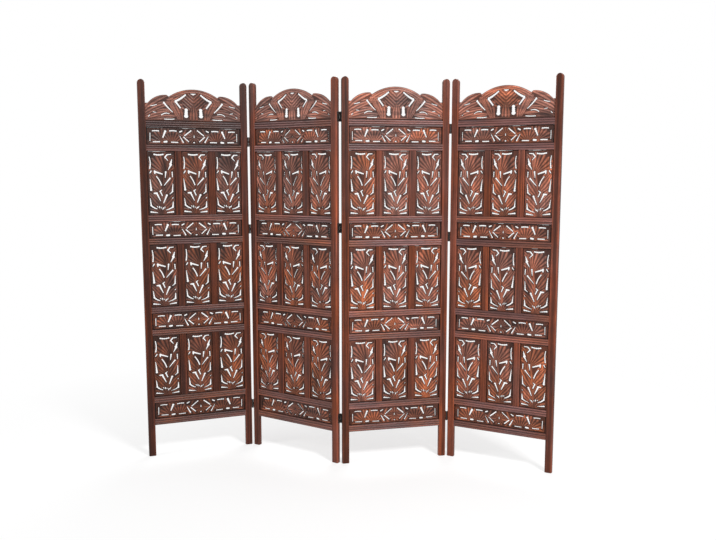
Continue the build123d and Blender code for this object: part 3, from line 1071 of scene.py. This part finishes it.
def wood_finish(name, colour, gloss, carved):
    """Polished hardwood: streaks and fibres along the grain, pores, painted highlights on the highs and
    painted shade in the cuts.

    The figure's colour is multiplied by the ageing's, which paints a cooler sheen towards the top, by the
    painted shade and highlight of the relief, and by a lightness that the streaks, fibres, pores, handling
    and the tone of each piece give together.
    """
    material, tree, shader = new_material(name)
    grain = value_of(tree, "grain", "Vector")
    relief, tone = value_of(tree, "relief"), value_of(tree, "tone")
    figure = noise(tree, grain, *(CARVED_FIGURE if carved else PLAIN_FIGURE))
    streaks, fibres, pores, handling, ageing_and_sheen = (
        noise(tree, grain, *layer) for layer in (STREAKS, FIBRES, PORES, HANDLING, AGEING))

    wood = shades(tree, figure, (0.30, scaled(colour, 0.38, 0.92)), (0.5, colour),
                  (0.70, scaled(colour, 1.85, 1.10)))
    place = added(tree, "ShaderNodeTexCoord").outputs["Object"]
    height = added(tree, "ShaderNodeSeparateXYZ", {}, Vector=place).outputs["Z"]
    # lower towards the top: a painted sheen, cooler and greyer on the upper parts
    ageing_and_sheen = sums(tree, "ADD", ageing_and_sheen, ranged(tree, height, 0.6, 1.7, 0.04, -0.09))
    wood = times(tree, wood, shades(tree, ageing_and_sheen, *AGED_AND_PAINTED_SHEEN))
    light = sums(tree, "ADD", ranged(tree, streaks, 0.3, 0.7, 0.68, 1.26),
                 ranged(tree, fibres, 0.3, 0.7, -0.1, 0.1))
    light = sums(tree, "MULTIPLY", light, ranged(tree, pores, 0.60, 0.70, 1.0, 0.62))
    light = sums(tree, "MULTIPLY", light, ranged(tree, tone, -TONE_REACH, TONE_REACH, 0.35, 1.61))
    light = sums(tree, "MULTIPLY", light, ranged(tree, handling, 0.3, 0.7, 0.84, 1.16))
    # the relief paints shade in the cuts and grooves and highlights on the highs
    painted_shade_and_highlight = shades(tree, relief, *(CARVED_PAINTED_SHADE_AND_HIGHLIGHT if carved else PLAIN_PAINTED_SHADE_AND_HIGHLIGHT))
    shown = times(tree, tinted(tree, wood, light), painted_shade_and_highlight)

    rough = sums(tree, "ADD", ranged(tree, handling, 0.3, 0.7, 0.34, 0.46),
                 ranged(tree, fibres, 0.3, 0.7, -0.03, 0.05))
    rough = sums(tree, "ADD", rough, ranged(tree, relief, 0.2, 0.8, 0.22, 0.0))
    surface = sums(tree, "ADD", sums(tree, "MULTIPLY", fibres, 0.5), sums(tree, "MULTIPLY", streaks, 0.6))
    surface = sums(tree, "ADD", surface, ranged(tree, pores, 0.60, 0.72, 0.0, -0.7))
    finished_with(tree, shader, shown, rough, 0.5, 0.0004, surface)
    shader.inputs["Specular IOR Level"].default_value = gloss
    return material


STEEL_MOTTLE = ((300, 300, 300), 4, 0.6)
STEEL_RUST = ((120, 120, 120), 5, 0.65, 4.2)
RUST_COLOUR = (0.09, 0.035, 0.015, 1)


def steel_finish(name, colour):
    """Blackened steel: mottled, rubbed paler on its edges, with a little rust."""
    material, tree, shader = new_material(name)
    place = added(tree, "ShaderNodeTexCoord").outputs["Object"]
    mottle, rust = noise(tree, place, *STEEL_MOTTLE), noise(tree, place, *STEEL_RUST)
    steel = shades(tree, mottle, (0.3, scaled(colour, 0.6)), (0.7, scaled(colour, 1.7)))
    rubbed = ranged(tree, value_of(tree, "relief"), 0.75, 1.0, 0, 0.4)
    worn = mixed(tree, rubbed, steel, (*scaled(colour, 4.0), 1))
    rusted = mixed(tree, ranged(tree, rust, 0.58, 0.72, 0, 0.5), worn, RUST_COLOUR)
    finished_with(tree, shader, rusted, ranged(tree, mottle, 0.3, 0.7, 0.38, 0.62), 0.4, 0.0003, mottle)
    shader.inputs["Metallic"].default_value = 0.6
    return material


def finish(slot):
    """The finish of one of the record's slots, made the first time that it is asked for."""
    name = slot.replace("_", " ")
    if name in bpy.data.materials:
        return bpy.data.materials[name]
    colour = tuple(getattr(bpy.context.scene.screen_finish, slot))
    if slot.startswith("hinge"):
        return steel_finish(name, colour)
    return wood_finish(name, colour, WOOD_GLOSS[slot], carved=slot == "carved_wood")


# ---------------------------------------------------------------------------------------------
# Hinges
# ---------------------------------------------------------------------------------------------

def hinge_spans(node):
    """Lowest and highest point of each of the solids that stand over one another in a hinge node."""
    levels = np.unique(node_points(node)[:, 2])
    breaks = np.nonzero(np.diff(levels) > HINGE_SPACING)[0]
    starts = np.concatenate([[0], breaks + 1])
    ends = np.concatenate([breaks, [len(levels) - 1]])
    return [(levels[start], levels[end]) for start, end in zip(starts, ends)]


def hinge_leaf(joint, number, side, low, high, sizes):
    """One leaf: its plate on the stile's edge, its knuckles round the pin and its screws.

    The left leaf has the two end knuckles, and the right leaf the bored one between them. Each
    knuckle is carried by a tab of its leaf's plate.
    """
    axis = in_panel(number, np.array(joint["pos_m"]))
    if side == "left":
        outward, face = 1, extent(number, "right_stile")[1][0]
    else:
        outward, face = -1, extent(number, "left_stile")[0][0]
    inward = -math.copysign(1, axis[1])
    height = high - low
    knuckle = (height - 2 * sizes.gap) / 3
    run = sizes.knuckle_radius + sizes.gap         # pin to the near edge of the plate
    start = axis[1] + inward * run
    end = math.copysign(abs(axis[1]) - HINGE_AXIS_OUT, axis[1]) + inward * sizes.plate_width
    middle = (low + high) / 2
    thickness = sizes.plate_thickness
    parts = [moved(leaf_plate(outward, thickness, abs(end - start), height, HINGE_CORNER),
                   [face, (start + end) / 2, middle])]
    for level in (low, high - knuckle) if side == "left" else (low + knuckle + sizes.gap,):
        top = level + knuckle
        if side == "left":
            barrel = round_bar(sizes.knuckle_radius, level, top, HINGE_CHAMFER)
        else:
            bore = sizes.pin_radius + sizes.clearance
            barrel = bored_bar(sizes.knuckle_radius, bore, level, top, HINGE_CHAMFER)
        tab = leaf_plate(outward, thickness, run, knuckle, HINGE_CHAMFER)
        parts += [moved(barrel, [axis[0], axis[1], 0]),
                  moved(tab, [face, axis[1] + inward * run / 2, level + knuckle / 2])]
    chance = chances(f"{joint['name']}_{side}_{low:.3f}")
    for share in SCREW_SHARES:
        head = screw_head(sizes.screw_radius, sizes.screw_slot, SCREW_PROUD)
        head = turned_about_z(head, chance.uniform(0, math.pi))
        head = {**head, "points": head["points"][:, (2, 0, 1)] * (outward, outward, 1)}
        parts.append(moved(head, [face + outward * thickness, (start + end) / 2 + inward * SCREW_ASIDE,
                                  middle + share * height]))
    return parts


# ---------------------------------------------------------------------------------------------
# Stage
# ---------------------------------------------------------------------------------------------

def seen_directly(tree):
    """1 for rays from the camera, from a gloss or through glass, and 0 for the light's own."""
    rays = added(tree, "ShaderNodeLightPath").outputs
    seen = sums(tree, "MAXIMUM", rays["Is Camera Ray"], rays["Is Glossy Ray"])
    return sums(tree, "MAXIMUM", seen, rays["Is Transmission Ray"])


def lay_floor(colour):
    """A pale floor that is lit and shaded near the screen and fades to white further out."""
    level, reach = cad_box[0][2], FLOOR_REACH
    mesh = bpy.data.meshes.new("floor")
    corners = ((-reach, -reach), (reach, -reach), (reach, reach), (-reach, reach))
    mesh.from_pydata([(*corner, level) for corner in corners], [], [(0, 1, 2, 3)])
    floor = bpy.data.objects.new("floor", mesh)
    bpy.context.scene.collection.objects.link(floor)
    material, tree, shader = new_material("pale floor")
    shader.inputs["Base Color"].default_value = (*colour, 1)
    shader.inputs["Roughness"].default_value = 0.9
    shader.inputs["Specular IOR Level"].default_value = 0.1
    place = added(tree, "ShaderNodeTexCoord").outputs["Object"]
    distance = added(tree, "ShaderNodeVectorMath", {"operation": "LENGTH"}, i0=place).outputs["Value"]
    far = ranged(tree, distance, *FLOOR_FADE)
    white = added(tree, "ShaderNodeEmission", {}, Color=(1, 1, 1, 1), Strength=1.0).outputs[0]
    faded = added(tree, "ShaderNodeMixShader", {}, i0=sums(tree, "MULTIPLY", far, seen_directly(tree)),
                  i1=shader.outputs[0], i2=white).outputs[0]
    tree.links.new(faded, tree.nodes["Material Output"].inputs["Surface"])
    mesh.materials.append(material)


def light_round(strength):
    """White where it is seen, and an even light of this strength everywhere else."""
    world = bpy.data.worlds.new("studio")
    bpy.context.scene.world = world
    world.use_nodes = True
    tree = world.node_tree
    background = tree.nodes["Background"]
    background.inputs["Color"].default_value = (1, 1, 1, 1)
    tree.links.new(ranged(tree, seen_directly(tree), 0, 1, strength, 1.0), background.inputs["Strength"])


def lamp(name, place, target, size, power):
    """A rectangular soft lamp turned to its target."""
    data = bpy.data.lights.new(name, "AREA")
    data.shape = "RECTANGLE"
    data.size, data.size_y = size
    data.energy = power
    light = bpy.data.objects.new(name, data)
    bpy.context.scene.collection.objects.link(light)
    light.location = place
    light.rotation_euler = (Vector(target) - Vector(place)).to_track_quat("-Z", "Y").to_euler()


# ---------------------------------------------------------------------------------------------
# Sizes and colours that a user would change
# ---------------------------------------------------------------------------------------------

class ScreenCarving(bpy.types.PropertyGroup):
    """Sizes of the carved boards."""

    cell: bpy.props.FloatProperty(
        name="Cell", description="Distance between the points of a carved face",
        default=0.0022, min=0.0008, unit="LENGTH")
    half_thickness: bpy.props.FloatProperty(
        name="Half thickness", description="From the middle of a board to the highest carving",
        default=0.005, unit="LENGTH")
    floor: bpy.props.FloatProperty(
        name="Floor", description="From the middle of a board to the deepest cut",
        default=0.0020, unit="LENGTH")
    edge_radius: bpy.props.FloatProperty(
        name="Edge radius", description="How far in from an opening its edge is rounded",
        default=0.0022, unit="LENGTH")
    drift: bpy.props.FloatProperty(
        name="Drift", description="How far one carver's board strays from the pattern",
        default=0.0006, unit="LENGTH")
    tall_margin: bpy.props.FloatProperty(
        name="Tall board margin", description="Plain border round a tall board",
        default=0.0065, unit="LENGTH")
    frieze_margin: bpy.props.FloatProperty(
        name="Frieze margin", description="Plain border over and under a frieze",
        default=0.006, unit="LENGTH")
    frieze_end_margin: bpy.props.FloatProperty(
        name="Frieze end margin", description="Plain border at the ends of a frieze",
        default=0.009, unit="LENGTH")


class ScreenCrest(bpy.types.PropertyGroup):
    """Outline of the pediments, up from the top rail and out from their middle."""

    arch_foot_rise: bpy.props.FloatProperty(
        name="Arch foot rise", description="Height of the nick beside the arch",
        default=0.115, unit="LENGTH")
    arch_foot_offset: bpy.props.FloatProperty(
        name="Arch foot offset", description="From the middle to the foot of the arch",
        default=0.116, unit="LENGTH")
    wing_tip_rise: bpy.props.FloatProperty(
        name="Wing tip rise", description="Height of a wing's tip",
        default=0.123, unit="LENGTH")
    wing_tip_offset: bpy.props.FloatProperty(
        name="Wing tip offset", description="From the middle to a wing's tip",
        default=0.124, unit="LENGTH")
    wing_bulge: bpy.props.FloatProperty(
        name="Wing bulge", description="Crown of a wing's curve over its chord",
        default=0.012, unit="LENGTH")
    shoulder_rise: bpy.props.FloatProperty(
        name="Shoulder rise", description="Height of the level shoulder beside a stile",
        default=0.084, unit="LENGTH")
    shoulder_run: bpy.props.FloatProperty(
        name="Shoulder run", description="Length of the level shoulder",
        default=0.012, unit="LENGTH")
    band_width: bpy.props.FloatProperty(
        name="Band width", description="Raised band along the outline",
        default=0.0095, unit="LENGTH")
    strip_width: bpy.props.FloatProperty(
        name="Strip width", description="Half width of the strip between a wing and the dome",
        default=0.007, unit="LENGTH")
    foot_band: bpy.props.FloatProperty(
        name="Foot band", description="Plain strip along the top rail",
        default=0.007, unit="LENGTH")


class ScreenTimber(bpy.types.PropertyGroup):
    """Sizes of the plain timber."""

    stile_bevel: bpy.props.FloatProperty(
        name="Stile ends", description="Bevel at the foot and tip of a stile",
        default=0.0022, unit="LENGTH")
    muntin_power: bpy.props.FloatProperty(
        name="Muntin power", description="Power of a muntin's section: higher is squarer",
        default=9.0, min=2)
    reeds: bpy.props.IntProperty(
        name="Reeds", description="Rounded reeds along a rail",
        default=3, min=1)
    reed_depth: bpy.props.FloatProperty(
        name="Reed depth", description="Depth of the grooves between reeds",
        default=0.0026, unit="LENGTH")


class ScreenHinges(bpy.types.PropertyGroup):
    """Sizes of the butt hinges."""

    knuckle_radius: bpy.props.FloatProperty(
        name="Knuckle radius", description="Outside of a knuckle",
        default=0.0028, unit="LENGTH")
    pin_radius: bpy.props.FloatProperty(
        name="Pin radius", description="Outside of a pin",
        default=0.0015, unit="LENGTH")
    clearance: bpy.props.FloatProperty(
        name="Clearance", description="Between the pin and the knuckle that turns on it",
        default=0.00008, unit="LENGTH")
    gap: bpy.props.FloatProperty(
        name="Gap", description="Between one knuckle and the next",
        default=0.0004, unit="LENGTH")
    plate_thickness: bpy.props.FloatProperty(
        name="Plate thickness", description="Thickness of a leaf",
        default=0.0015, unit="LENGTH")
    plate_width: bpy.props.FloatProperty(
        name="Plate width", description="Width of a leaf on the stile",
        default=0.019, unit="LENGTH")
    screw_radius: bpy.props.FloatProperty(
        name="Screw radius", description="Radius of a screw's head",
        default=0.003, unit="LENGTH")
    screw_slot: bpy.props.FloatProperty(
        name="Screw slot", description="Width of the slot in a screw's head",
        default=0.0007, unit="LENGTH")


class ScreenFinish(bpy.types.PropertyGroup):
    """Colours of the finishes, one for each material slot."""

    stile_wood: bpy.props.FloatVectorProperty(
        name="Stile wood", description="Colour of the stiles", subtype="COLOR", size=3,
        default=(0.150, 0.042, 0.024), min=0, max=1)
    rail_wood: bpy.props.FloatVectorProperty(
        name="Rail wood", description="Colour of the rails", subtype="COLOR", size=3,
        default=(0.165, 0.060, 0.046), min=0, max=1)
    muntin_wood: bpy.props.FloatVectorProperty(
        name="Muntin wood", description="Colour of the muntins", subtype="COLOR", size=3,
        default=(0.155, 0.045, 0.026), min=0, max=1)
    carved_wood: bpy.props.FloatVectorProperty(
        name="Carved wood", description="Colour of the carved boards", subtype="COLOR", size=3,
        default=(0.170, 0.058, 0.036), min=0, max=1)
    hinge_steel: bpy.props.FloatVectorProperty(
        name="Hinge steel", description="Colour of the hinge leaves", subtype="COLOR", size=3,
        default=(0.030, 0.026, 0.024), min=0, max=1)
    hinge_pin: bpy.props.FloatVectorProperty(
        name="Hinge pin", description="Colour of the hinge pins", subtype="COLOR", size=3,
        default=(0.050, 0.046, 0.043), min=0, max=1)


class ScreenStage(bpy.types.PropertyGroup):
    """The floor, the lamps and the camera."""

    floor_colour: bpy.props.FloatVectorProperty(
        name="Floor", description="Colour of the floor", subtype="COLOR", size=3,
        default=(0.95, 0.95, 0.95), min=0, max=1)
    fill: bpy.props.FloatProperty(
        name="Fill", description="Strength of the light from all round", default=0.36, min=0)
    key: bpy.props.FloatProperty(
        name="Key", description="Power of the lamp in front", default=240.0, min=0, unit="POWER")
    lens: bpy.props.FloatProperty(
        name="Lens", description="Focal length on a 36 mm sensor", default=39.4, min=10, unit="CAMERA")


# ---------------------------------------------------------------------------------------------
# Pieces
# ---------------------------------------------------------------------------------------------

def made(name, parts, number, slot, replaced, grain):
    """A piece of one panel: its shapes go from the panel's frame to the row frame."""
    chance = chances(name)
    tone = PIECE_TONES.get(replaced, PANEL_TONES[number])
    in_place = [placed(number, part, grain, chance.uniform(-5, 5, 3),
                       tone + chance.uniform(-PIECE_TONE, PIECE_TONE)) for part in parts]
    built(name, in_place, f"panel_{number}", slot, replaced)


class SCREEN_OT_stiles(bpy.types.Operator):
    """Make the two stiles of each panel, with their half-round tops"""

    bl_idname = "screen_maker.stiles"
    bl_label = "Stiles"

    def execute(self, context):
        bevel = context.scene.screen_timber.stile_bevel
        for number in PANELS:
            for side in ("left", "right"):
                node = f"panel_{number}_{side}_stile"
                part = stile_shape(*extent(number, f"{side}_stile"), bevel)
                made(f"{node}_planed", [part], number, "stile_wood", node, "up")
        return {"FINISHED"}


class SCREEN_OT_rails(bpy.types.Operator):
    """Make the reeded rails of each panel"""

    bl_idname = "screen_maker.rails"
    bl_label = "Rails"

    def execute(self, context):
        timber = context.scene.screen_timber
        for number in PANELS:
            levels = rail_levels(number)
            low, high = extent(number, "bottom_rail")
            groups = {"bottom_rail": levels[:1], "tier_rails": levels[1:-1], "top_rail": levels[-1:]}
            for part, spans in groups.items():
                shapes = [rail_shape(np.array([*low[:2], underside]), np.array([*high[:2], top]),
                                     timber.reeds, timber.reed_depth) for underside, top in spans]
                node = f"panel_{number}_{part}"
                made(f"{node}_reeded", shapes, number, "rail_wood", node, "across")
        return {"FINISHED"}


class SCREEN_OT_muntins(bpy.types.Operator):
    """Make the plain muntins between the tall boards"""

    bl_idname = "screen_maker.muntins"
    bl_label = "Muntins"

    def execute(self, context):
        power = context.scene.screen_timber.muntin_power
        for number in PANELS:
            node = f"panel_{number}_muntins"
            low, high = extent(number, "muntins")
            inner, outer = muntin_edges(number)
            shapes = [bar_shape(np.array([start, low[1], underside]), np.array([end, high[1], top]), power)
                      for underside, top in board_levels(number)
                      for start, end in ((-outer, -inner), (inner, outer))]
            made(f"{node}_planed", shapes, number, "muntin_wood", node, "up")
        return {"FINISHED"}


class SCREEN_OT_tall_boards(bpy.types.Operator):
    """Carve and pierce the three tall boards of each tier"""

    bl_idname = "screen_maker.tall_boards"
    bl_label = "Tall boards"

    def execute(self, context):
        carving = context.scene.screen_carving
        margin = carving.tall_margin / MM
        for number in PANELS:
            inner, outer = muntin_edges(number)
            seat_end = extent(number, "tier_1_boards")[1][0]
            bays = ((-seat_end, -outer), (-inner, inner), (outer, seat_end))
            middles = (-outer - inner, 0, outer + inner)
            for tier, (underside, top) in zip(TIERS, board_levels(number)):
                node = f"panel_{number}_tier_{tier}_boards"
                height = (top - underside) / MM
                field = board_field(2 * inner / MM, height, margin, margin,
                                    TALL_BOARD_OPENINGS, TALL_BOARD_RELIEF, mirrored=False)
                field = facing(field, number in TURNED_PANELS)
                chance = chances(node)
                shapes = []
                for (start, end), middle in zip(bays, middles):
                    board = plate(by_hand(field, carving.drift / MM, chance),
                                  ((start - middle) / MM, -height / 2),
                                  ((end - middle) / MM, height / 2), carving)
                    shapes.append(moved(board, [middle, 0, (underside + top) / 2]))
                made(f"{node}_carved", shapes, number, "carved_wood", node, "up")
        return {"FINISHED"}


class SCREEN_OT_friezes(bpy.types.Operator):
    """Carve and pierce the four friezes of each panel"""

    bl_idname = "screen_maker.friezes"
    bl_label = "Friezes"

    def execute(self, context):
        carving = context.scene.screen_carving
        for number in PANELS:
            node = f"panel_{number}_friezes"
            low, high = extent(number, "friezes")
            width = 2 * opening_half_width(number) / MM
            chance = chances(node)
            shapes = []
            for underside, top in frieze_levels(number):
                height = (top - underside) / MM
                field = board_field(width, height, carving.frieze_end_margin / MM,
                                    carving.frieze_margin / MM,
                                    FRIEZE_OPENINGS, FRIEZE_RELIEF, mirrored=True)
                board = plate(by_hand(field, carving.drift / MM, chance),
                              (low[0] / MM, -height / 2), (high[0] / MM, height / 2), carving)
                shapes.append(moved(board, [0, 0, (underside + top) / 2]))
            made(f"{node}_carved", shapes, number, "carved_wood", node, "across")
        return {"FINISHED"}


class SCREEN_OT_crests(bpy.types.Operator):
    """Carve and pierce the pediment of each panel"""

    bl_idname = "screen_maker.crests"
    bl_label = "Pediments"

    def execute(self, context):
        carving = context.scene.screen_carving
        for number in PANELS:
            node = f"panel_{number}_crest"
            low, high = extent(number, "crest")
            field = crest_field(crest_sizes(number, context.scene.screen_crest))
            top = (high[2] - low[2] + 2 * carving.cell) / MM     # two cells clear of the arch
            board = plate(field, (low[0] / MM, 0), (high[0] / MM, top), carving)
            made(f"{node}_carved", [moved(board, [0, 0, low[2]])], number, "carved_wood", node, "across")
        return {"FINISHED"}


class SCREEN_OT_hinges(bpy.types.Operator):
    """Make the leaves, screws and pins of the butt hinges"""

    bl_idname = "screen_maker.hinges"
    bl_label = "Hinges"

    def execute(self, context):
        sizes = context.scene.screen_hinges
        for joint in frame["joints"]:
            left, right = (int(joint[body].split("_")[1]) for body in ("parent", "child"))
            hinge = f"hinge_{left}_{right}"
            for side, number in (("left", left), ("right", right)):
                node = f"{hinge}_{side}_leaves"
                shapes = []
                for low, high in hinge_spans(node):
                    shapes += hinge_leaf(joint, number, side, low, high, sizes)
                made(f"{node}_blackened", shapes, number, "hinge_steel", node, "up")
            node = f"{hinge}_pins"
            axis = in_panel(left, np.array(joint["pos_m"]))
            radius = sizes.pin_radius
            shapes = [moved(round_bar(radius, low, high, PIN_CHAMFER * radius), [axis[0], axis[1], 0])
                      for low, high in hinge_spans(node)]
            made(f"{node}_blackened", shapes, left, "hinge_pin", node, "up")
        return {"FINISHED"}


class SCREEN_OT_stage(bpy.types.Operator):
    """Lay the floor, set the lamps and place the camera"""

    bl_idname = "screen_maker.stage"
    bl_label = "Stage"

    def execute(self, context):
        scene, stage = context.scene, context.scene.screen_stage
        scene.view_settings.view_transform = "Standard"
        lay_floor(tuple(stage.floor_colour))
        light_round(stage.fill)
        for name, place, target, size, share in LAMPS:
            lamp(name, place, target, size, stage.key * share)
        camera = bpy.data.objects.new("camera", bpy.data.cameras.new("camera"))
        scene.collection.objects.link(camera)
        camera.location = CAMERA_PLACE
        camera.rotation_euler = CAMERA_TURN
        camera.data.lens = stage.lens
        scene.camera = camera
        return {"FINISHED"}


class SCREEN_PT_maker(bpy.types.Panel):
    """The steps that make the screen, in order, with their sizes and colours"""

    bl_idname = "SCREEN_PT_maker"
    bl_label = "Carved screen"
    bl_space_type = "VIEW_3D"
    bl_region_type = "UI"
    bl_category = "Screen"

    def draw(self, context):
        for step in STEPS:
            self.layout.operator(step.bl_idname)
        for name, group in GROUPS.items():
            box = self.layout.box()
            box.label(text=name.replace("_", " ").capitalize())
            for size in group.__annotations__:
                box.prop(getattr(context.scene, name), size)


GROUPS = {
    "screen_carving": ScreenCarving,
    "screen_crest": ScreenCrest,
    "screen_timber": ScreenTimber,
    "screen_hinges": ScreenHinges,
    "screen_finish": ScreenFinish,
    "screen_stage": ScreenStage,
}
STEPS = (
    SCREEN_OT_stiles,
    SCREEN_OT_rails,
    SCREEN_OT_muntins,
    SCREEN_OT_tall_boards,
    SCREEN_OT_friezes,
    SCREEN_OT_crests,
    SCREEN_OT_hinges,
    SCREEN_OT_stage,
)


def register():
    for group in GROUPS.values():
        bpy.utils.register_class(group)
    for name, group in GROUPS.items():
        setattr(bpy.types.Scene, name, bpy.props.PointerProperty(type=group))
    for step in (*STEPS, SCREEN_PT_maker):
        bpy.utils.register_class(step)


def unregister():
    for step in (SCREEN_PT_maker, *reversed(STEPS)):
        bpy.utils.unregister_class(step)
    for name, group in GROUPS.items():
        delattr(bpy.types.Scene, name)
        bpy.utils.unregister_class(group)


def main():
    """Make every piece in order."""
    register()
    for step in STEPS:
        category, name = step.bl_idname.split(".")
        getattr(getattr(bpy.ops, category), name)()
    bpy.context.view_layer.update()


if __name__ == "__main__":
    main()
